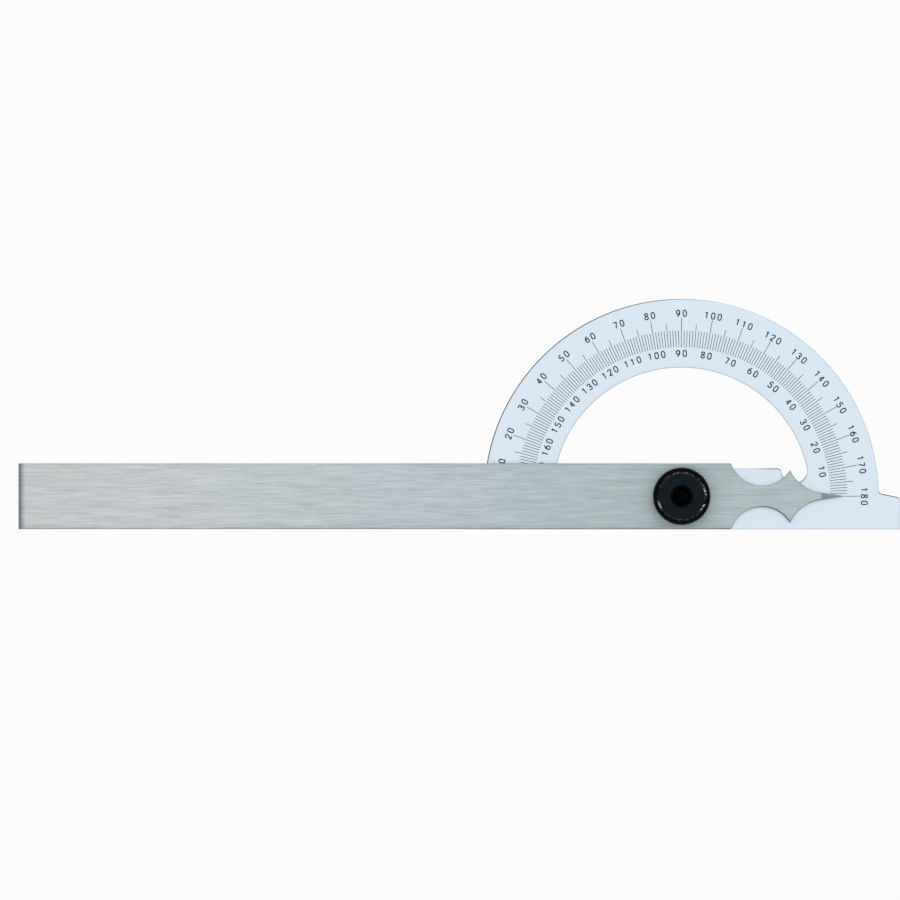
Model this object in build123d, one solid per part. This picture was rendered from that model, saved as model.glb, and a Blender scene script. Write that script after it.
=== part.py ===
from build123d import *
from math import atan2, cos, pi, radians, sin, sqrt, tan
import os

# A protractor: a half-round degree scale, and a long rule with a pointer that swings on a stud in the
# scale's centre and is locked by a knurled nut. Sizes are in millimetres.
# The origin is the centre of the degree scale, on the stud's axis, at the back of the scale plate.
# +X runs along the base towards the pointer, +Y towards the top of the arc, +Z out of the marked face.

# Scale plate
plate_thickness = 1.2
arc_radius = 60.0
window_radius = 39.1
base_top_y = 8.45
base_margin = 0.1
foot_reach = 6.4
foot_corner_y = -0.4
foot_slope_deg = 12.0
foot_corner_radius = 1.4
foot_root_radius = 1.2
relief_drop = 0.6
relief_radius = 3.9
relief_lip_radius = 1.4
plate_edge_chamfer = 0.25

# Stud: riveted foot, shank in the plate, journal for the rule, thread for the nut
foot_radius = 3.9
foot_depth = 0.7
shank_radius = 3.0
journal_radius = 4.0
journal_shortfall = 0.1
thread_radius = 2.5
stud_end_chamfer = 0.5
stud_end_below_nut_floor = 0.6

# Rule with its neck and pointer
rule_thickness = 1.2
rule_half_width = 10.0
rule_arm_length = 201.5
rule_edge_chamfer = 0.3
scallop_radius = 9.9
scallop_depth = 6.8
scallop_to_shoulder = 8.5
flank_run = 9.5
needle_length = 6.3
needle_past_window = 9.7
needle_root_half_width = 1.0
needle_tip_half_width = 0.15
needle_tip_thickness = 0.3

# Clamp: disc spring, thrust washer and knurled nut
spring_radius = 6.0
spring_sheet = 0.4
spring_rise = 0.1
washer_radius = 7.0
washer_thickness = 0.8
washer_edge_chamfer = 0.15
nut_height = 8.0
nut_crest_radius = 8.8
nut_face_radius = 7.1
nut_shoulder_height = 1.2
nut_foot_chamfer = 0.5
knurl_count = 90
knurl_depth = 0.3
knurl_land_share = 0.2
counterbore_radius = 3.25
counterbore_depth = 2.0
mouth_chamfer = 0.3

# Clearances
journal_clearance = 0.05
spring_clearance = 0.15
washer_clearance = 0.1
nut_thread_clearance = 0.05

# Heights and places that follow from the sizes above
rule_bottom_z = plate_thickness
rule_top_z = rule_bottom_z + rule_thickness
journal_top_z = rule_top_z - journal_shortfall
spring_top_z = rule_top_z + spring_sheet + spring_rise
washer_top_z = spring_top_z + washer_thickness
nut_top_z = washer_top_z + nut_height
stud_top_z = nut_top_z - counterbore_depth - stud_end_below_nut_floor
base_bottom_y = -(rule_half_width + base_margin)
foot_end_x = arc_radius + foot_reach
relief_reach = window_radius - relief_radius
relief_y = base_top_y - relief_drop
relief_x = sqrt(relief_reach**2 - relief_y**2)
needle_tip_x = window_radius + needle_past_window
needle_root_x = needle_tip_x - needle_length
shoulder_x = needle_root_x - flank_run
scallop_x = shoulder_x - scallop_to_shoulder
scallop_y = rule_half_width - scallop_depth + scallop_radius
shoulder_y = scallop_y - sqrt(scallop_radius**2 - scallop_to_shoulder**2)
scallop_start_x = scallop_x - sqrt(scallop_radius**2 - (scallop_y - rule_half_width) ** 2)


def turned(outline):
    """A solid of revolution about the stud's axis, from (radius, height) points."""
    profile = make_face(Polyline(*[(radius, 0, height) for radius, height in outline], close=True))
    return revolve(profile, Axis.Z, 360)


def stud_foot_outline():
    """The part of the stud that fills the plate: a riveted cone and a plain shank."""
    return [(0, 0), (foot_radius, 0), (shank_radius, foot_depth), (shank_radius, plate_thickness)]


def foot_sketch():
    """One foot at the end of the base bar, seen from above, with its sloping top edge."""
    slope_rise = (foot_end_x - window_radius) * tan(radians(foot_slope_deg))
    return make_face(
        Polyline(
            (0, base_bottom_y),
            (foot_end_x, base_bottom_y),
            (foot_end_x, foot_corner_y),
            (window_radius, foot_corner_y + slope_rise),
            (0, foot_corner_y + slope_rise),
            close=True,
        )
    )


def plate_outline():
    """The half-round plate on its base bar, with rounded feet and no openings yet."""
    upper_half = Pos(0, arc_radius / 2) * Rectangle(2 * arc_radius, arc_radius)
    half_disc = Circle(arc_radius) & upper_half
    foot = foot_sketch()
    blank = half_disc + foot + mirror(foot, Plane.YZ)
    corners = [v for v in blank.vertices() if abs(abs(v.X) - foot_end_x) < 0.01 and v.Y > base_bottom_y / 2]
    blank = fillet(corners, foot_corner_radius)
    roots = [v for v in blank.vertices() if abs(sqrt(v.X**2 + v.Y**2) - arc_radius) < 0.01 and v.Y > 0]
    return fillet(roots, foot_root_radius)


def window_outline():
    """The opening under the arc: flat along the bar, with a round relief tangent to the arc at each end."""
    lip_x = relief_x - sqrt(relief_radius**2 - relief_drop**2)
    arc_start_x = relief_x * window_radius / relief_reach
    arc_start_y = relief_y * window_radius / relief_reach
    relief_bottom = (relief_x, relief_y - relief_radius)
    bar_edge = Line((-lip_x, base_top_y), (lip_x, base_top_y))
    relief = ThreePointArc((lip_x, base_top_y), relief_bottom, (arc_start_x, arc_start_y))
    arc = ThreePointArc((arc_start_x, arc_start_y), (0, window_radius), (-arc_start_x, arc_start_y))
    opening = make_face(bar_edge + relief + arc + mirror(relief, Plane.YZ))
    lips = [v for v in opening.vertices() if abs(v.Y - base_top_y) < 0.01]
    return fillet(lips, relief_lip_radius)


def scale_plate():
    blank = extrude(plate_outline(), plate_thickness)
    plate = blank - extrude(window_outline(), plate_thickness)
    flat_faces = [plate.faces().sort_by(Axis.Z)[-1], plate.faces().sort_by(Axis.Z)[0]]
    plate = chamfer([edge for face in flat_faces for edge in face.edges()], plate_edge_chamfer)
    rivet_seat = turned(stud_foot_outline() + [(0, plate_thickness)])
    return plate - rivet_seat


def pivot_stud():
    outline = stud_foot_outline() + [
        (journal_radius, plate_thickness),
        (journal_radius, journal_top_z),
        (thread_radius, journal_top_z),
        (thread_radius, stud_top_z - stud_end_chamfer),
        (thread_radius - stud_end_chamfer, stud_top_z),
        (0, stud_top_z),
    ]
    return turned(outline)


def rule_half_outline():
    """The upper half of the rule from above: straight edge, scallop, sharp shoulder, flank and needle."""
    needle_root = (needle_root_x, needle_root_half_width)
    needle_tip = (needle_tip_x, needle_tip_half_width)
    needle_angle = atan2(needle_root_half_width - needle_tip_half_width, needle_tip_x - needle_root_x)
    square_end = -rule_arm_length
    shoulder = (shoulder_x, shoulder_y)
    scallop_start = (scallop_start_x, rule_half_width)
    edge = Polyline((square_end, 0), (square_end, rule_half_width), scallop_start)
    scallop = ThreePointArc(scallop_start, (scallop_x, scallop_y - scallop_radius), shoulder)
    flank = TangentArc(needle_root, shoulder, tangent=(-cos(needle_angle), sin(needle_angle)))
    needle = Polyline(needle_root, needle_tip, (needle_tip_x, 0), (square_end, 0))
    return make_face(edge + scallop + flank + needle)


def needle_bevel():
    """The wedge that is ground off the top of the needle, so that its tip lies close to the scale."""
    tip_top_z = rule_bottom_z + needle_tip_thickness
    profile = Polyline(
        (needle_root_x, 0, rule_top_z),
        (needle_tip_x, 0, tip_top_z),
        (needle_tip_x, 0, rule_top_z),
        close=True,
    )
    return extrude(make_face(profile), amount=rule_half_width, both=True, dir=(0, 1, 0))


def rule():
    half = rule_half_outline()
    outline = half + mirror(half, Plane.XZ)
    bar = Pos(0, 0, rule_bottom_z) * extrude(outline, rule_thickness)
    bar -= needle_bevel()
    top = bar.faces().filter_by(Plane.XY).sort_by(Axis.Z)[-1]
    broken_edges = [edge for edge in top.edges() if edge.center().X < needle_root_x - rule_edge_chamfer]
    bar = chamfer(broken_edges, rule_edge_chamfer)
    bore = Pos(0, 0, rule_bottom_z + rule_thickness / 2) * Cylinder(journal_radius + journal_clearance, rule_thickness)
    return bar - bore


def disc_spring():
    """A shallow cone of sheet: its rim presses on the rule and its inner edge on the washer."""
    inner_radius = thread_radius + spring_clearance
    return turned(
        [
            (inner_radius, rule_top_z + spring_rise),
            (spring_radius, rule_top_z),
            (spring_radius, rule_top_z + spring_sheet),
            (inner_radius, spring_top_z),
        ]
    )


def thrust_washer():
    inner_radius = thread_radius + washer_clearance
    return turned(
        [
            (inner_radius, spring_top_z),
            (washer_radius - washer_edge_chamfer, spring_top_z),
            (washer_radius, spring_top_z + washer_edge_chamfer),
            (washer_radius, washer_top_z - washer_edge_chamfer),
            (washer_radius - washer_edge_chamfer, washer_top_z),
            (inner_radius, washer_top_z),
        ]
    )


def knurl_section(crest_radius, height):
    """The nut's outline at one height: straight V grooves with narrow lands between them."""
    pitch = 2 * pi / knurl_count
    half_land = pitch * knurl_land_share / 2
    root_radius = crest_radius - knurl_depth
    points = []
    for tooth in range(knurl_count):
        centre = tooth * pitch
        for radius, angle in (
            (crest_radius, centre - half_land),
            (crest_radius, centre + half_land),
            (root_radius, centre + pitch / 2),
        ):
            points.append((radius * cos(angle), radius * sin(angle)))
    return Pos(0, 0, height) * make_face(Polyline(*points, close=True))


def clamp_nut():
    seat_z = washer_top_z
    sections = [
        knurl_section(nut_crest_radius - nut_foot_chamfer, seat_z),
        knurl_section(nut_crest_radius, seat_z + nut_foot_chamfer),
        knurl_section(nut_crest_radius, nut_top_z - nut_shoulder_height),
        knurl_section(nut_face_radius, nut_top_z),
    ]
    body = loft(sections, ruled=True)
    bore_radius = thread_radius + nut_thread_clearance
    floor_z = nut_top_z - counterbore_depth
    hollow = turned(
        [
            (0, seat_z),
            (bore_radius + mouth_chamfer, seat_z),
            (bore_radius, seat_z + mouth_chamfer),
            (bore_radius, floor_z),
            (counterbore_radius, floor_z),
            (counterbore_radius, nut_top_z - mouth_chamfer),
            (counterbore_radius + mouth_chamfer, nut_top_z),
            (0, nut_top_z),
        ]
    )
    return body - hollow


pieces = {
    "scale_plate": scale_plate,
    "pivot_stud": pivot_stud,
    "rule": rule,
    "disc_spring": disc_spring,
    "thrust_washer": thrust_washer,
    "clamp_nut": clamp_nut,
}

os.makedirs("parts", exist_ok=True)
for name, make_piece in pieces.items():
    export_step(make_piece(), f"parts/{name}.step")
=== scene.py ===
from math import cos, radians, sin

import bmesh
import bpy
from bpy.props import FloatProperty, FloatVectorProperty, PointerProperty
from mathutils import Matrix, Vector


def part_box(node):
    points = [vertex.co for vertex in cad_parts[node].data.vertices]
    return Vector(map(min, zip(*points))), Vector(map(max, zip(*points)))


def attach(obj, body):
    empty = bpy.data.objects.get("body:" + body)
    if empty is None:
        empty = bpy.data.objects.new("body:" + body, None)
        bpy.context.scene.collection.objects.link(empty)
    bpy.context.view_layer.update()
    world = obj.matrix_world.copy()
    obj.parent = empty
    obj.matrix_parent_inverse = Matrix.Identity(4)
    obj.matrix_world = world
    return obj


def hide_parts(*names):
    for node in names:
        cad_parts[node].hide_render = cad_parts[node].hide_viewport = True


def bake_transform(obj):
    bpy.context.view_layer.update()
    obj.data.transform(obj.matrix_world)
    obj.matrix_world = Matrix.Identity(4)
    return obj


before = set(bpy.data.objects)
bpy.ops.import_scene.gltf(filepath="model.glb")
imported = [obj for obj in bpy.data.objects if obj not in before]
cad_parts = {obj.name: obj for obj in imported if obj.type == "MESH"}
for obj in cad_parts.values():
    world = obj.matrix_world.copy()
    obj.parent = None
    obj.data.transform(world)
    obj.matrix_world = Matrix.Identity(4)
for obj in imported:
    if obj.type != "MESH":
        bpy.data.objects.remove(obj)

bl_info = {
    "name": "Sheet Steel Protractor",
    "version": (1, 0, 0),
    "blender": (4, 5, 0),
    "location": "3D View > Sidebar > Protractor",
    "description": "Engraves and finishes a half-round protractor with a pointed rule and a knurled nut",
    "category": "Object",
}

# Lengths are metres. The scale's centre is the origin, the marked face looks up, along +Z.
MM = 0.001
WELD_DISTANCE = 0.002 * MM
FLAT_ANGLE = radians(0.2)
SHARP_ANGLE = radians(28)
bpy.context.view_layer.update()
PLATE_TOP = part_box("scale_plate")[1].z
RULE_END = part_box("rule")[0].x
NEEDLE_LENGTH = 6.3 * MM
NEEDLE_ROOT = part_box("rule")[1].x - NEEDLE_LENGTH
NUT_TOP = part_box("clamp_nut")[1].z
NUT_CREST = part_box("clamp_nut")[1].x
FACE_EDGE = 7.1 * MM
RECESS_EDGE = 3.25 * MM
LIP_START = 21 * MM
LIP_END = 28 * MM
LIP_TOP = 9 * MM

# Colours of painted shade and painted glints on edges, ends and hollows, and of worn, ground, zinc-plated and blued
# places
PAINTED_EDGE_SHADE_CHROME = (0.07, 0.09, 0.13, 1.0)
PAINTED_END_SHADE_STEEL = (0.12, 0.15, 0.17, 1.0)
PAINTED_EDGE_SHADE_STEEL = (0.05, 0.06, 0.07, 1.0)
NEEDLE_BEVEL_SHADE = (0.10, 0.12, 0.12, 1.0)
GLINT_AND_WEAR_STEEL = (0.8, 0.82, 0.86, 1.0)
OXIDE_AND_SHADE_BLACK = (0.003, 0.004, 0.0035, 1.0)
GROUND_DARK = (0.42, 0.44, 0.45, 1.0)
GROUND_LIGHT = (0.66, 0.68, 0.7, 1.0)
ZINC = (0.66, 0.68, 0.7)
BLUED_STEEL = (0.3, 0.31, 0.34)


# Shader building

class Signal:
    """A shader socket that can be used in arithmetic."""

    def __init__(self, tree, socket):
        self.tree = tree
        self.socket = socket

    def math(self, operation, left, right=0.0):
        node = self.tree.nodes.new("ShaderNodeMath")
        node.operation = operation
        feed(self.tree, node.inputs[0], left)
        feed(self.tree, node.inputs[1], right)
        return Signal(self.tree, node.outputs[0])

    def __add__(self, other):
        return self.math("ADD", self, other)

    def __radd__(self, other):
        return self.math("ADD", other, self)

    def __sub__(self, other):
        return self.math("SUBTRACT", self, other)

    def __rsub__(self, other):
        return self.math("SUBTRACT", other, self)

    def __mul__(self, other):
        return self.math("MULTIPLY", self, other)

    def __rmul__(self, other):
        return self.math("MULTIPLY", other, self)

    def __truediv__(self, other):
        return self.math("DIVIDE", self, other)

    def __pow__(self, other):
        return self.math("POWER", self, other)


def feed(tree, target, value):
    """Links a signal to a socket, or writes a plain value into it."""
    if isinstance(value, Signal):
        tree.links.new(value.socket, target)
    else:
        target.default_value = value


class Bench:
    """A node tree under construction."""

    def __init__(self, tree, coordinates):
        self.tree = tree
        self.place = self.node("ShaderNodeTexCoord", output=coordinates)

    def node(self, kind, settings=None, output=0, **sockets):
        """Adds a node, writes its settings and then its sockets, by name or by number, and gives one output."""
        node = self.tree.nodes.new(kind)
        for key, value in (settings or {}).items():
            setattr(node, key, value)
        for key, value in sockets.items():
            socket = node.inputs[int(key[1:])] if key[0] == "i" and key[1:].isdigit() else node.inputs[key]
            feed(self.tree, socket, value)
        return Signal(self.tree, node.outputs[output])

    def between(self, signal, low, high):
        """The signal with low brought to 0 and high to 1, clamped."""
        return self.node("ShaderNodeMapRange", {"clamp": True}, i0=signal, i1=low, i2=high, i3=0.0, i4=1.0)

    def axis(self, index):
        """One of the three coordinates."""
        return self.node("ShaderNodeSeparateXYZ", output=index, i0=self.place)

    def shown(self):
        """1 where a camera, glossy or transmission ray meets the surface or the sky, else 0."""
        camera, glossy, transmission = (
            self.node("ShaderNodeLightPath", output=f"Is {kind} Ray") for kind in ("Camera", "Glossy", "Transmission")
        )
        return self.between(camera + glossy + transmission, 0.0, 1.0)


class Finish(Bench):
    """A material under construction: its node tree, its Principled shader and its object coordinates."""

    def __init__(self, name, **constants):
        self.material = bpy.data.materials.new(name)
        self.material.use_nodes = True
        super().__init__(self.material.node_tree, "Object")
        self.shader = self.tree.nodes["Principled BSDF"]
        for socket, value in constants.items():
            self.shader.inputs[socket.replace("_", " ")].default_value = value

    def stretched(self, scale, turn=0.0):
        """Object coordinates with each axis scaled by itself, and turned about Z."""
        return self.node(
            "ShaderNodeMapping", {"vector_type": "POINT"}, Vector=self.place, Scale=scale, Rotation=(0, 0, turn)
        )

    def noise(self, scale, detail=3.0, roughness=0.55, turn=0.0):
        """Noise from 0 to 1 whose grain is 1/scale metres along each axis."""
        return self.node(
            "ShaderNodeTexNoise",
            {"noise_dimensions": "3D"},
            Vector=self.stretched(scale, turn),
            Scale=1.0,
            Detail=detail,
            Roughness=roughness,
        )

    def blend(self, share, first, second):
        """A colour mixed from two others."""
        return self.node("ShaderNodeMix", {"data_type": "RGBA"}, output=2, i0=share, i6=first, i7=second)

    def dimmed(self, color, factor):
        """A colour made lighter or darker by a signal."""
        return self.node("ShaderNodeVectorMath", {"operation": "SCALE"}, i0=color, i3=factor)

    def radius(self):
        """Distance from the stud's axis."""
        x, y = self.axis(0), self.axis(1)
        return (x * x + y * y) ** 0.5

    def toward(self, degrees, low, high):
        """A patch round the stud's axis, 1 towards one direction and fading to 0 beside it."""
        across = self.axis(0) * cos(radians(degrees)) + self.axis(1) * sin(radians(degrees))
        return self.between(across / self.radius(), low, high)

    def slope(self, index):
        """One of the three components of the surface's direction."""
        normal = self.node("ShaderNodeTexCoord", output="Normal")
        return self.node("ShaderNodeSeparateXYZ", output=index, i0=normal)

    def edges(self):
        """0 on the level faces, 1 on chamfers and flanks."""
        up = self.slope(2)
        return 1.0 - self.between(up * up, 0.72, 0.97)

    def edges_facing(self, degrees, low=0.1, high=0.55):
        """1 on the chamfers and flanks that face one way about the stud's axis."""
        return self.between(self.slope(0) * cos(radians(degrees)) + self.slope(1) * sin(radians(degrees)), low, high)

    def rings(self, per_metre, detail=2.0):
        """Noise that changes with the distance from the stud's axis alone, as a lathe tool leaves it."""
        return self.node(
            "ShaderNodeTexNoise", {"noise_dimensions": "1D"}, W=self.radius() * per_metre, Scale=1.0, Detail=detail
        )

    def bump(self, height, distance, strength=1.0):
        normal = self.node("ShaderNodeBump", Height=height, Distance=distance, Strength=strength)
        self.drive("Normal", normal)

    def drive(self, socket, value):
        feed(self.tree, self.shader.inputs[socket], value)


def shade(color, amount):
    """A colour made lighter or darker by a factor."""
    return tuple(min(1.0, channel * amount) for channel in color[:3]) + (1.0,)


def satin_chrome(look):
    """Dull chrome: a fine frosted grain, faint clouds, a few hair scratches, and painted shade on the chamfers,
    darkest on the outer arc's left-facing edge and the bar's upper edges by the lips.
    """
    finish = Finish("satin_chrome", Metallic=look.plate_metallic)
    clouds = finish.noise((55, 55, 55), detail=2.0)
    grain = finish.noise((2600, 2600, 2600), detail=2.0)
    hair = finish.noise((90, 4200, 400), detail=1.0, turn=0.6)
    scratches = finish.between(hair, 0.70, 0.76)
    tone = clouds * 0.75 + grain * 0.25
    color = finish.blend(tone, shade(look.plate_color, 0.97), shade(look.plate_color, 1.03))
    scratched = finish.blend(scratches * 0.2, color, shade(look.plate_color, 0.88))
    x = finish.axis(0)
    on_bar = 1.0 - finish.between(finish.axis(1), LIP_TOP, LIP_TOP + 1 * MM)
    at_lips = finish.between(x * x, LIP_START ** 2, LIP_END ** 2) * on_bar
    outside = finish.between(finish.radius(), 58 * MM, 59 * MM)
    # Painted shade: the outer arc's left-facing chamfer and the bar's upper chamfers by the lips are painted dark,
    # and every chamfer a little darker.
    painted_shade_mask = finish.edges_facing(165, 0.05, 0.4) * outside + finish.edges_facing(90) * at_lips
    darkness = painted_shade_mask * 0.85 + finish.edges() * 0.14
    finish.drive("Base Color", finish.blend(darkness, scratched, PAINTED_EDGE_SHADE_CHROME))
    finish.drive("Roughness", look.plate_roughness - 0.05 + clouds * 0.06 + grain * 0.05)
    finish.bump(grain + scratches * 0.6, 0.004 * MM, 0.3)
    return finish.material


def brushed_steel(look):
    """Rule steel: brushed streaks along X, with painted light falloff, lighter at the far end and duller at the neck,
    and painted shade on the squared end, the long edges, the lower chamfers and the needle's bevel.
    """
    finish = Finish("brushed_steel", Metallic=1.0)
    bands = finish.noise((60, 1100, 200), detail=2.0)
    streaks = finish.noise((100, 2800, 800), detail=3.0, roughness=0.6)
    hairs = finish.noise((420, 14000, 4000), detail=2.0)
    stains = finish.noise((45, 120, 60), detail=2.0)
    casts = finish.between(finish.noise((110, 1500, 400), detail=2.0), 0.35, 0.65)
    # Painted light falloff: the far end is painted lighter and the neck duller, as light that falls off along the
    # rule.
    shaded = finish.between(finish.axis(0) + stains * 20 * MM, -80 * MM, -5 * MM)
    lit = 1.0 - finish.between(finish.axis(0) + stains * 20 * MM, -150 * MM, -80 * MM)
    cast = finish.blend(casts, shade(look.rule_tint, 1.0), shade(look.rule_cast, 1.0))
    base = finish.blend(lit, shade(look.rule_color, 1.0), shade(look.rule_clean, 1.0))
    base = finish.blend(shaded * 0.85 + casts * 0.15, base, cast)
    tone = finish.between(bands * 0.25 + streaks * 0.55 + hairs * 0.2, 0.34, 0.66)
    y = finish.axis(1)
    # Painted shade: the strips along both long edges are painted darker, the lower one more.
    upper_edge = finish.between(y, 8.8 * MM, 10 * MM)
    lower_edge = 1.0 - finish.between(y, -10 * MM, -8.3 * MM)
    long_edges = upper_edge * 0.06 + lower_edge * 0.14
    streaked_and_edge_shaded = finish.dimmed(base, 0.79 + tone * 0.41 - long_edges)
    # Painted shade: the squared end is painted darker over its last two millimetres, as shade on its rounded end.
    painted_shade_mask = 1.0 - finish.between(finish.axis(0) + bands * 0.6 * MM, RULE_END + 0.8 * MM, RULE_END + 2.8 * MM)
    # Painted shade: the needle's ground bevel is painted darker.
    ground = finish.between(finish.axis(0) + streaks * 0.3 * MM, NEEDLE_ROOT, NEEDLE_ROOT + 0.3 * MM)
    darkened = finish.blend(ground * 0.6, streaked_and_edge_shaded, NEEDLE_BEVEL_SHADE)
    # Painted shade: chamfers facing down and left are painted dark, darker towards the neck, and every chamfer a
    # little darker.
    painted_edge_shade = finish.edges_facing(232, 0.3, 0.75) * (0.45 + finish.between(finish.axis(0), -40 * MM, 12 * MM) * 0.45)
    darkened = finish.blend(painted_edge_shade + finish.edges() * 0.1, darkened, PAINTED_EDGE_SHADE_STEEL)
    finish.drive("Base Color", finish.blend(painted_shade_mask ** 1.8 * 0.88, darkened, PAINTED_END_SHADE_STEEL))
    finish.drive("Roughness", look.rule_roughness - 0.06 + streaks * 0.12)
    finish.bump(streaks * 0.6 + hairs * 0.4, 0.006 * MM, 0.6)
    return finish.material


def black_oxide(look):
    """Blackened nut: turned rings on its face, a knurl painted jet black as blacker oxide and painted dark
    reflection, a recess painted jet black as shade, painted glints along the face's edge, and some wear on the
    knurl's crests.
    """
    finish = Finish("black_oxide", Metallic=1.0)
    radius = finish.radius()
    rings = finish.rings(5200.0, 3.0)
    cloud = finish.noise((300, 300, 300), detail=3.0)
    speckle = finish.noise((1500, 1500, 900), detail=2.0)
    patches = finish.noise((330, 330, 100), detail=1.0)
    specks = finish.noise((1500, 1500, 500), detail=1.0)
    near_face = finish.between(finish.axis(2), NUT_TOP - 0.45 * MM, NUT_TOP - 0.1 * MM)
    rim = near_face * finish.between(radius, FACE_EDGE - 0.17 * MM, FACE_EDGE - 0.06 * MM)
    crests = finish.between(radius, NUT_CREST - 0.1 * MM, NUT_CREST - 0.02 * MM)
    # Painted glints: the face's edge is painted bright in specks, mostly towards the right and lower left and faintly
    # at the top.
    right = finish.toward(-5, 0.76, 0.9)
    lower_left = finish.toward(206, 0.96, 0.99)
    top = finish.toward(92, 0.86, 0.97)
    glint_sides = right + lower_left * 0.7 + top * 0.08
    glinting = rim * (glint_sides + 0.1) * finish.between(patches * 0.3 + specks * 0.7, 0.47, 0.62)
    # Wear: the knurl's crests are lightened a little in specks.
    glinting = finish.between(glinting + crests * finish.between(speckle, 0.5, 0.75) * 0.2, 0.0, 1.0)
    # The knurl is painted jet black, partly as blacker oxide and partly as painted dark reflection; the recess is
    # painted jet black as painted shade.
    knurled = finish.between(radius, FACE_EDGE, FACE_EDGE + 0.2 * MM)
    inside = 1.0 - finish.between(radius, RECESS_EDGE - 0.05 * MM, RECESS_EDGE + 0.15 * MM)
    face = finish.blend(cloud, shade(look.nut_color, 0.8), shade(look.nut_color, 1.25))
    color = finish.blend(inside, finish.blend(knurled, face, OXIDE_AND_SHADE_BLACK), OXIDE_AND_SHADE_BLACK)
    finish.drive("Base Color", finish.blend(glinting * look.nut_wear, color, GLINT_AND_WEAR_STEEL))
    finish.drive("Roughness", 0.3 + cloud * 0.1 + rings * 0.12 + glinting * 0.1)
    finish.bump(rings + speckle * 0.5, 0.008 * MM, 0.5)
    return finish.material


def dark_enamel(look):
    """Paint wiped into the engraving: dull, slightly uneven where the cloth has thinned it."""
    finish = Finish("dark_enamel", Metallic=0.0, Specular_IOR_Level=0.3)
    wiped = finish.noise((700, 700, 700), detail=3.0)
    finish.drive("Base Color", finish.blend(wiped, shade(look.mark_color, 0.7), shade(look.mark_color, 1.4)))
    finish.drive("Roughness", 0.5 + wiped * 0.2)
    finish.bump(wiped, 0.004 * MM, 0.5)
    return finish.material


def turned_steel(name, color, roughness):
    """Lathe-turned steel: rings round the stud's axis and a soft cloud of handling marks."""
    finish = Finish(name, Metallic=1.0)
    rings = finish.rings(9000.0)
    cloud = finish.noise((260, 260, 260), detail=3.0)
    finish.drive("Base Color", finish.blend(rings * 0.6 + cloud * 0.4, shade(color, 0.82), shade(color, 1.12)))
    finish.drive("Roughness", roughness - 0.06 + rings * 0.12)
    finish.bump(rings, 0.006 * MM, 0.6)
    return finish.material


def blackened_stud(look):
    """Black oxide on the stud, painted far darker than the nut's as shade inside the nut's hole, ground off to bright
    steel where its riveted foot is flush with the plate's back.
    """
    finish = Finish("blackened_stud", Metallic=1.0)
    rings = finish.rings(9000.0)
    grinding = finish.noise((300, 9000, 300), detail=3.0, turn=0.9)
    black = finish.between(finish.axis(2) + rings * 0.02 * MM, 0.02 * MM, 0.08 * MM)
    bright = finish.blend(grinding, GROUND_DARK, GROUND_LIGHT)
    # Painted shade: the oxide is painted far darker than the nut's, so the stud's end reads as shade inside the nut's
    # hole.
    oxide = finish.blend(rings, shade(look.nut_color, 0.1), shade(look.nut_color, 0.2))
    finish.drive("Base Color", finish.blend(black, bright, oxide))
    finish.drive("Roughness", 0.34 + rings * 0.08 + grinding * 0.08)
    finish.bump(rings * 0.5 + grinding * 0.5, 0.006 * MM, 0.6)
    return finish.material


# Mesh helpers

def welded(node):
    """A bmesh of one CAD piece with its corners welded and its flat faces joined into whole ones."""
    bm = bmesh.new()
    bm.from_mesh(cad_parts[node].data)
    for face in bm.faces:
        face.material_index = 0
    bmesh.ops.remove_doubles(bm, verts=bm.verts, dist=WELD_DISTANCE)
    bmesh.ops.dissolve_limit(
        bm, angle_limit=FLAT_ANGLE, use_dissolve_boundaries=False, verts=bm.verts, edges=bm.edges
    )
    return bm


def sharp_edges(bm, angle=SHARP_ANGLE):
    return [edge for edge in bm.edges if edge.is_manifold and edge.calc_face_angle() > angle]


def round_edges(bm, width, segments=2):
    """Rolls every sharp edge over a small radius, as tumbling and polishing leave it."""
    bmesh.ops.bevel(
        bm,
        geom=sharp_edges(bm),
        offset=width,
        offset_type="OFFSET",
        segments=segments,
        profile=0.5,
        affect="EDGES",
        clamp_overlap=True,
        material=-1,
    )


def ends_level(edge):
    """True where a level face meets one that isn't, so that a cut-up level face still shades as one plane."""
    return len({abs(face.normal.z) > 0.9999 for face in edge.link_faces}) == 2


def finished(bm, name, body, material, replaces=(), level=False):
    """Turns a bmesh into a finished piece with the given material, riding on a body when one is given, and hides the
    CAD pieces it replaces.
    """
    for face in bm.faces:
        face.smooth = True
    creases = set(sharp_edges(bm))
    for edge in bm.edges:
        edge.smooth = not (edge in creases or not edge.is_manifold or (level and ends_level(edge)))
    piece = placed(bm, name)
    piece.data.materials.append(material)
    even = piece.modifiers.new("even_shading", "WEIGHTED_NORMAL")
    even.keep_sharp = True
    even.weight = 90
    if body:
        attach(piece, body)
    if replaces:
        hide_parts(*replaces)
    return piece


def shaped_by(bm, cutter, operation, overlapping=False):
    """A new bmesh: the given one less the cutter's volume, or only what lies inside it."""
    piece = placed(bm, "blank")
    carve = piece.modifiers.new("engraving", "BOOLEAN")
    carve.operation = operation
    carve.solver = "EXACT"
    carve.use_self = overlapping
    carve.object = cutter
    bpy.context.view_layer.update()
    evaluated = piece.evaluated_get(bpy.context.evaluated_depsgraph_get())
    carved = bpy.data.meshes.new_from_object(evaluated)
    discard(piece)
    discard(cutter)
    return unpacked(carved)


def unpacked(mesh):
    """A bmesh of a mesh that is then thrown away."""
    bm = bmesh.new()
    bm.from_mesh(mesh)
    bpy.data.meshes.remove(mesh)
    return bm


def placed(bm, name):
    """An object in the scene, made from a bmesh that is then freed."""
    mesh = bpy.data.meshes.new(name)
    bm.to_mesh(mesh)
    bm.free()
    thing = bpy.data.objects.new(name, mesh)
    bpy.context.scene.collection.objects.link(thing)
    return thing


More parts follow.
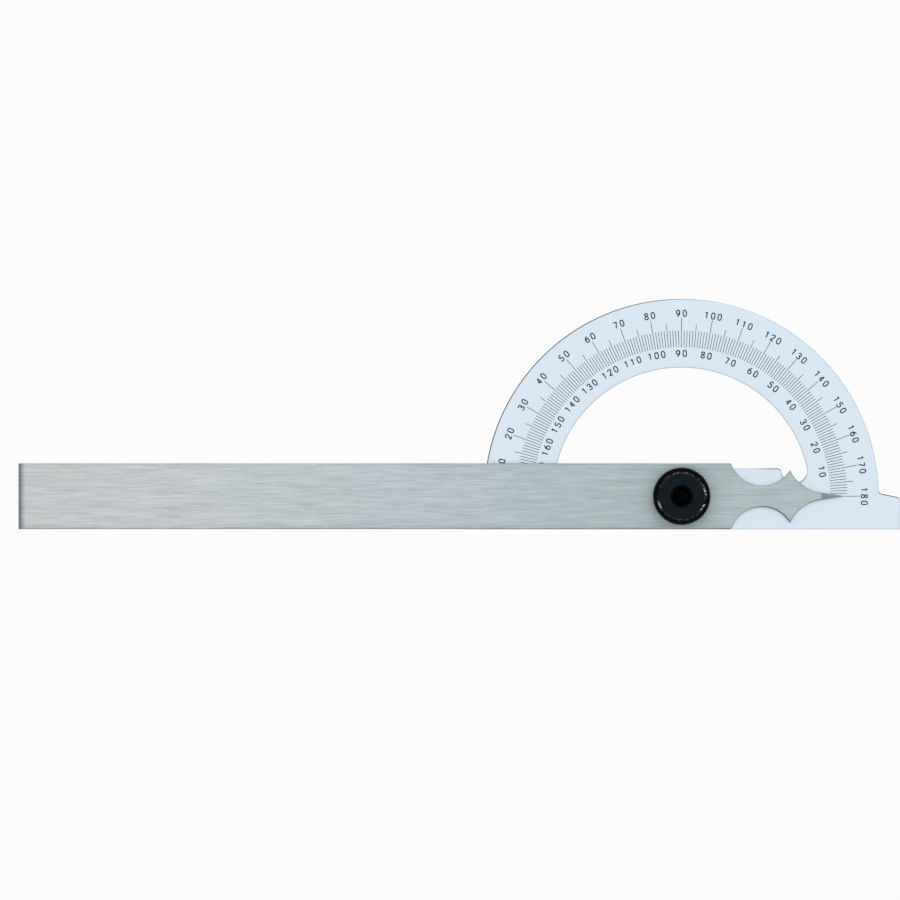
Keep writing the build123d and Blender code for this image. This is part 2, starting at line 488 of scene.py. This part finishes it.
def discard(helper):
    mesh = helper.data
    bpy.data.objects.remove(helper)
    bpy.data.meshes.remove(mesh)


# Engraving: lines are cut by thin blocks, numbers by a round-nosed tool that follows each digit's strokes

def line_length(scale, degree):
    """How far out a degree line runs: tens are longest, fives are middling."""
    if degree % 10 == 0:
        return scale.ten_line_radius
    if degree % 5 == 0:
        return scale.five_line_radius
    return scale.one_line_radius


def degree_lines(scale, low, high):
    """One block for each degree of the half circle, standing between two heights."""
    bm = bmesh.new()
    for degree in range(0, 181):
        inner = scale.line_start_radius
        outer = line_length(scale, degree)
        place = (
            Matrix.Rotation(radians(degree), 4, "Z")
            @ Matrix.Translation(((inner + outer) / 2, 0, (low + high) / 2))
            @ Matrix.Diagonal((outer - inner, scale.line_width, high - low, 1))
        )
        bmesh.ops.create_cube(bm, size=1.0, matrix=place)
    return bm


def number_strokes(scale):
    """The engraver's path for both rows of numbers, as round rods lying in the plate's face.

    The outer row runs from 0 at the left to 180 at the right, the inner row the other way.
    """
    curve = bpy.data.curves.new("numbers", "CURVE")
    curve.dimensions = "3D"
    curve.resolution_u = 4
    curve.bevel_depth = scale.stroke_width / 2
    curve.bevel_resolution = 2
    curve.use_fill_caps = True
    rows = (
        (scale.outer_number_radius, lambda degree: 180 - degree),
        (scale.inner_number_radius, lambda degree: degree),
    )
    for radius, value in rows:
        for degree in range(0, 181, 10):
            turn = Matrix.Rotation(radians(degree - 90), 4, "Z") @ Matrix.Translation((0, radius, PLATE_TOP))
            write_number(curve, str(value(degree)), scale, turn)
    writer = bpy.data.objects.new("numbers", curve)
    bpy.context.scene.collection.objects.link(writer)
    bpy.context.view_layer.update()
    rods = bpy.data.meshes.new_from_object(writer.evaluated_get(bpy.context.evaluated_depsgraph_get()))
    bpy.data.objects.remove(writer)
    bpy.data.curves.remove(curve)
    bm = unpacked(rods)
    bmesh.ops.remove_doubles(bm, verts=bm.verts, dist=WELD_DISTANCE)
    bmesh.ops.recalc_face_normals(bm, faces=bm.faces)
    return bm


def write_number(curve, text, scale, turn):
    """Adds the strokes of one number, side by side about the middle, with their tops away from the stud."""
    width = scale.digit_width - scale.stroke_width
    height = scale.digit_height - scale.stroke_width
    for place, digit in enumerate(text):
        middle = (place - (len(text) - 1) / 2) * scale.digit_pitch
        for kind, points in DIGIT_STROKES[digit]:
            spline = curve.splines.new("POLY" if kind == "straight" else "NURBS")
            spline.points.add(len(points) - 1)
            for point, (x, y) in zip(spline.points, points):
                spot = turn @ Vector((middle + (x - 0.5) * width, (y - 0.5) * height, 0.01 * MM))
                point.co = (*spot, 1.0)
            spline.use_cyclic_u = kind == "loop"
            spline.use_endpoint_u = kind == "bent"
            spline.order_u = 3


# Each digit's strokes in a box one wide and one high. A bent stroke or a loop rounds its corners off, a straight
# one doesn't. Sharp corners are two strokes, because a rod thins where it turns sharply.
DIGIT_STROKES = {
    "0": (("loop", ((0, 0.2), (0, 0.8), (0.25, 1), (0.75, 1), (1, 0.8), (1, 0.2), (0.75, 0), (0.25, 0))),),
    "1": (("straight", ((0.15, 0.76), (0.57, 0.99))), ("straight", ((0.6, 1), (0.6, 0)))),
    "2": (("bent", ((0.02, 0.74), (0.05, 1), (1, 1), (1, 0.62), (0, 0))), ("straight", ((0, 0), (1, 0)))),
    "3": (
        ("bent", ((0.02, 0.84), (0.1, 1), (0.95, 1), (0.95, 0.56), (0.4, 0.56))),
        ("bent", ((0.36, 0.52), (1, 0.52), (1, 0), (0.1, 0), (0, 0.18))),
    ),
    "4": (
        ("straight", ((0.74, 0), (0.74, 1))),
        ("straight", ((0.7, 0.97), (0, 0.3))),
        ("straight", ((0.03, 0.26), (1, 0.26))),
    ),
    "5": (
        ("straight", ((0.95, 1), (0.14, 1))),
        ("straight", ((0.11, 0.97), (0.05, 0.58))),
        ("bent", ((0.07, 0.54), (1, 0.7), (1, 0), (0.05, 0), (0, 0.16))),
    ),
    "6": (("bent", ((0.82, 1), (0, 0.8), (0, 0.02), (1, 0), (1, 0.62), (0.1, 0.62), (0.03, 0.3))),),
    "7": (("straight", ((0, 1), (1, 1))), ("straight", ((0.97, 0.97), (0.35, 0)))),
    "8": (("loop", ((0.06, 1), (0.94, 1), (0.94, 0.66), (0, 0.42), (0, 0), (1, 0), (1, 0.42), (0.06, 0.66))),),
    "9": (("bent", ((0.18, 0), (1, 0.2), (1, 0.98), (0, 1), (0, 0.38), (0.9, 0.38), (0.97, 0.7))),),
}


# Settings that a user would change

class ProtractorLook(bpy.types.PropertyGroup):
    """Colours and dullness of the finishes"""

    plate_color: FloatVectorProperty(
        name="Plate Colour", description="Colour of the satin chrome", subtype="COLOR", default=(0.74, 0.84, 0.925)
    )
    plate_metallic: FloatProperty(
        name="Plate Metallic", description="How much the chrome mirrors instead of scattering", default=0.85
    )
    plate_roughness: FloatProperty(name="Plate Roughness", description="Dullness of the satin chrome", default=0.55)
    rule_color: FloatVectorProperty(
        name="Rule Colour", description="Colour of the brushed steel", subtype="COLOR", default=(0.46, 0.52, 0.54)
    )
    # Painted light falloff: the next two colours paint the rule lighter at its far end and duller at its neck.
    rule_clean: FloatVectorProperty(
        name="Rule Clean", description="Colour of the clean far end", subtype="COLOR", default=(0.522, 0.55, 0.555)
    )
    rule_tint: FloatVectorProperty(
        name="Rule Tint", description="Colour of the handled steel", subtype="COLOR", default=(0.405, 0.487, 0.48)
    )
    rule_cast: FloatVectorProperty(
        name="Rule Cast", description="Bluer colour of some streaks", subtype="COLOR", default=(0.398, 0.463, 0.492)
    )
    rule_roughness: FloatProperty(name="Rule Roughness", description="Dullness of the brushing", default=0.5)
    nut_color: FloatVectorProperty(
        name="Nut Colour", description="Colour of the black oxide", subtype="COLOR", default=(0.008, 0.012, 0.0155)
    )
    # Strength of the painted glints on the face's edge and of the wear on the crests.
    nut_wear: FloatProperty(
        name="Nut Wear", description="How bright the face's edge and the crests are rubbed", default=0.9, subtype="FACTOR"
    )
    mark_color: FloatVectorProperty(
        name="Mark Colour", description="Colour of the enamel in the lines", subtype="COLOR",
        default=(0.045, 0.05, 0.055),
    )


class ProtractorScale(bpy.types.PropertyGroup):
    """Sizes of the engraved lines and numbers"""

    line_start_radius: FloatProperty(
        name="Line Start", description="Radius where every line starts", default=45.3 * MM, unit="LENGTH",
        precision=5,
    )
    one_line_radius: FloatProperty(
        name="One-Degree Line", description="Radius where the lines end", default=50.4 * MM, unit="LENGTH",
        precision=5,
    )
    five_line_radius: FloatProperty(
        name="Five-Degree Line", description="Radius where the fives end", default=52.3 * MM, unit="LENGTH",
        precision=5,
    )
    ten_line_radius: FloatProperty(
        name="Ten-Degree Line", description="Radius where the tens end", default=54.3 * MM, unit="LENGTH",
        precision=5,
    )
    line_width: FloatProperty(
        name="Line Width", description="Width of a degree line", default=0.18 * MM, unit="LENGTH", precision=5
    )
    engraving_depth: FloatProperty(
        name="Depth", description="Depth of lines and numbers", default=0.07 * MM, unit="LENGTH", precision=5
    )
    enamel_drop: FloatProperty(
        name="Enamel Drop", description="How far the enamel lies below the face", default=0.02 * MM, unit="LENGTH",
        precision=5,
    )
    outer_number_radius: FloatProperty(
        name="Outer Row", description="Radius of the outer numbers' middle", default=55.6 * MM, unit="LENGTH",
        precision=5,
    )
    inner_number_radius: FloatProperty(
        name="Inner Row", description="Radius of the inner numbers' middle", default=43.4 * MM, unit="LENGTH",
        precision=5,
    )
    digit_height: FloatProperty(
        name="Digit Height", description="Height of a digit over its strokes", default=2.2 * MM, unit="LENGTH",
        precision=5,
    )
    digit_width: FloatProperty(
        name="Digit Width", description="Width of a digit over its strokes", default=1.38 * MM, unit="LENGTH",
        precision=5,
    )
    digit_pitch: FloatProperty(
        name="Digit Pitch", description="From one digit's middle to the next", default=2.03 * MM, unit="LENGTH",
        precision=5,
    )
    stroke_width: FloatProperty(
        name="Stroke Width", description="Width of the round-nosed engraving tool", default=0.37 * MM, unit="LENGTH",
        precision=5,
    )


class ProtractorStage(bpy.types.PropertyGroup):
    """Camera, lamp and background"""

    centre_x: FloatProperty(
        name="View Centre X", description="Point under the camera", default=-70.35 * MM, unit="LENGTH", precision=5
    )
    centre_y: FloatProperty(
        name="View Centre Y", description="Point under the camera", default=14.05 * MM, unit="LENGTH", precision=5
    )
    frame_width: FloatProperty(
        name="Frame Width", description="Width seen at the scale's face", default=273.6 * MM, unit="LENGTH",
        precision=5,
    )
    camera_height: FloatProperty(
        name="Camera Height", description="Height over the floor", default=6.0, unit="LENGTH"
    )
    ceiling: FloatProperty(name="Ceiling", description="Strength of the dim ceiling above the camera", default=0.05)
    backdrop: FloatProperty(name="Backdrop", description="Strength of the white backdrop all round", default=0.85)
    key_place: FloatVectorProperty(
        name="Key Place", description="Where the lamp hangs", subtype="TRANSLATION", unit="LENGTH",
        default=(0.24, 1.4, 2.75),
    )
    key_power: FloatProperty(name="Key Power", description="Power of the lamp", default=9.0, unit="POWER")
    key_size: FloatProperty(name="Key Size", description="Side of the lamp", default=1.0, unit="LENGTH")
    floor_glow: FloatProperty(
        name="Floor Glow", description="Share of the floor that shows plain white", default=0.96, subtype="FACTOR"
    )


class PROTRACTOR_OT_plate(bpy.types.Operator):
    """Round the scale plate's edges and engrave its degree lines and numbers"""

    bl_idname = "protractor.plate"
    bl_label = "Scale Plate"

    def execute(self, context):
        scale = context.scene.protractor_scale
        bm = welded("scale_plate")
        round_edges(bm, 0.08 * MM, 3)
        lines = degree_lines(scale, PLATE_TOP - scale.engraving_depth, PLATE_TOP + scale.engraving_depth)
        bm = shaped_by(bm, placed(lines, "line_cutter"), "DIFFERENCE")
        bm = shaped_by(bm, placed(number_strokes(scale), "number_cutter"), "DIFFERENCE", overlapping=True)
        chrome = satin_chrome(context.scene.protractor_look)
        finished(bm, "engraved_scale_plate", "scale", chrome, ["scale_plate"], level=True)
        return {"FINISHED"}


class PROTRACTOR_OT_marks(bpy.types.Operator):
    """Fill the engraved degree lines and numbers with dark enamel"""

    bl_idname = "protractor.marks"
    bl_label = "Enamel Marks"

    def execute(self, context):
        scale = context.scene.protractor_scale
        enamel = dark_enamel(context.scene.protractor_look)
        top = PLATE_TOP - scale.enamel_drop
        lines = degree_lines(scale, PLATE_TOP - scale.engraving_depth, top)
        finished(lines, "degree_line_enamel", "scale", enamel, level=True)
        below = bmesh.new()
        size = 4 * scale.outer_number_radius
        place = Matrix.Translation((0, 0, top / 2)) @ Matrix.Diagonal((size, size, top, 1))
        bmesh.ops.create_cube(below, size=1.0, matrix=place)
        numbers = shaped_by(number_strokes(scale), placed(below, "enamel_level"), "INTERSECT", overlapping=True)
        finished(numbers, "degree_number_enamel", "scale", enamel, level=True)
        return {"FINISHED"}


class PROTRACTOR_OT_rule(bpy.types.Operator):
    """Round the rule's edges and give it its brushed steel"""

    bl_idname = "protractor.rule"
    bl_label = "Rule"

    def execute(self, context):
        bm = welded("rule")
        round_edges(bm, 0.05 * MM)
        finished(bm, "brushed_rule", "rule", brushed_steel(context.scene.protractor_look), ["rule"])
        return {"FINISHED"}


class PROTRACTOR_OT_clamp(bpy.types.Operator):
    """Finish the stud, spring, washer and knurled nut"""

    bl_idname = "protractor.clamp"
    bl_label = "Clamp"

    def execute(self, context):
        look = context.scene.protractor_look
        stud = welded("pivot_stud")
        round_edges(stud, 0.06 * MM)
        finished(stud, "riveted_stud", "scale", blackened_stud(look), ["pivot_stud"])
        nut = welded("clamp_nut")
        round_edges(nut, 0.03 * MM, 1)
        finished(nut, "knurled_nut", "nut", black_oxide(look), ["clamp_nut"])
        washer = welded("thrust_washer")
        round_edges(washer, 0.05 * MM)
        zinc = turned_steel("zinc_plate", ZINC, 0.28)
        finished(washer, "zinc_washer", "washer", zinc, ["thrust_washer"])
        spring = welded("disc_spring")
        round_edges(spring, 0.05 * MM)
        blued = turned_steel("spring_steel", BLUED_STEEL, 0.36)
        piece = finished(spring, "pressed_disc_spring", None, blued, ["disc_spring"])
        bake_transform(piece)
        return {"FINISHED"}


class PROTRACTOR_OT_stage(bpy.types.Operator):
    """Lay the white floor and set the lamp, the world and the camera straight above"""

    bl_idname = "protractor.stage"
    bl_label = "Stage"

    def execute(self, context):
        stage = context.scene.protractor_stage
        self.lay_floor(stage)
        self.light_world(stage)
        self.hang_lamp(stage)
        self.place_camera(context.scene, stage)
        return {"FINISHED"}

    def lay_floor(self, stage):
        bm = bmesh.new()
        bmesh.ops.create_grid(bm, x_segments=1, y_segments=1, size=6.0)
        bmesh.ops.translate(bm, vec=(0, 0, -0.02 * MM), verts=bm.verts)
        floor = placed(bm, "white_floor")
        paint = Finish("white_floor", Base_Color=(0.9, 0.9, 0.9, 1.0), Roughness=0.9)
        glow = paint.node("ShaderNodeEmission", Strength=1.0)
        shader = Signal(paint.tree, paint.shader.outputs[0])
        mix = paint.node("ShaderNodeMixShader", i0=paint.shown() * stage.floor_glow, i1=shader, i2=glow)
        feed(paint.tree, paint.tree.nodes["Material Output"].inputs[0], mix)
        floor.data.materials.append(paint.material)

    def light_world(self, stage):
        """A white backdrop all round, which bare metal mirrors, and a dimmer ceiling for the light that falls in."""
        world = bpy.data.worlds.new("white_room")
        world.use_nodes = True
        sky = Bench(world.node_tree, "Generated")
        height = sky.between(sky.axis(2), 0.1, 0.55)
        light = height * (stage.ceiling - stage.backdrop) + stage.backdrop
        seen = sky.shown()
        background = sky.tree.nodes["Background"]
        background.inputs["Color"].default_value = (1.0, 1.0, 1.0, 1.0)
        feed(sky.tree, background.inputs["Strength"], seen + (1.0 - seen) * light)
        bpy.context.scene.world = world

    def hang_lamp(self, stage):
        lamp = bpy.data.lights.new("key", "AREA")
        lamp.shape = "SQUARE"
        lamp.size = stage.key_size
        lamp.energy = stage.key_power
        place = Vector(stage.key_place)
        aim = Vector((stage.centre_x, 0, 0)) - place
        holder = bpy.data.objects.new("key", lamp)
        holder.location = place
        holder.rotation_euler = aim.to_track_quat("-Z", "Y").to_euler()
        bpy.context.scene.collection.objects.link(holder)

    def place_camera(self, scene, stage):
        lens = bpy.data.cameras.new("straight_above")
        lens.sensor_width = 36.0
        lens.lens = lens.sensor_width * (stage.camera_height - PLATE_TOP) / stage.frame_width
        lens.clip_start = 0.01
        lens.clip_end = 20.0
        camera = bpy.data.objects.new("straight_above", lens)
        camera.location = (stage.centre_x, stage.centre_y, stage.camera_height)
        scene.collection.objects.link(camera)
        scene.camera = camera
        scene.view_settings.view_transform = "Standard"


class PROTRACTOR_PT_sidebar(bpy.types.Panel):
    """The protractor's sizes, colours and build steps"""

    bl_idname = "PROTRACTOR_PT_sidebar"
    bl_label = "Protractor"
    bl_space_type = "VIEW_3D"
    bl_region_type = "UI"
    bl_category = "Protractor"

    def draw(self, context):
        layout = self.layout
        for settings in (
            context.scene.protractor_scale,
            context.scene.protractor_look,
            context.scene.protractor_stage,
        ):
            box = layout.box()
            for name in settings.__annotations__:
                box.prop(settings, name)
        for step in STEPS:
            layout.operator(step.bl_idname)


STEPS = (
    PROTRACTOR_OT_plate,
    PROTRACTOR_OT_marks,
    PROTRACTOR_OT_rule,
    PROTRACTOR_OT_clamp,
    PROTRACTOR_OT_stage,
)
SETTINGS = {
    "protractor_scale": ProtractorScale,
    "protractor_look": ProtractorLook,
    "protractor_stage": ProtractorStage,
}
CLASSES = (*SETTINGS.values(), *STEPS, PROTRACTOR_PT_sidebar)


def register():
    for cls in CLASSES:
        bpy.utils.register_class(cls)
    for name, settings in SETTINGS.items():
        setattr(bpy.types.Scene, name, PointerProperty(type=settings))


def unregister():
    for name in SETTINGS:
        delattr(bpy.types.Scene, name)
    for cls in reversed(CLASSES):
        bpy.utils.unregister_class(cls)


def main():
    register()
    bpy.ops.protractor.plate()
    bpy.ops.protractor.marks()
    bpy.ops.protractor.rule()
    bpy.ops.protractor.clamp()
    bpy.ops.protractor.stage()


if __name__ == "__main__":
    main()
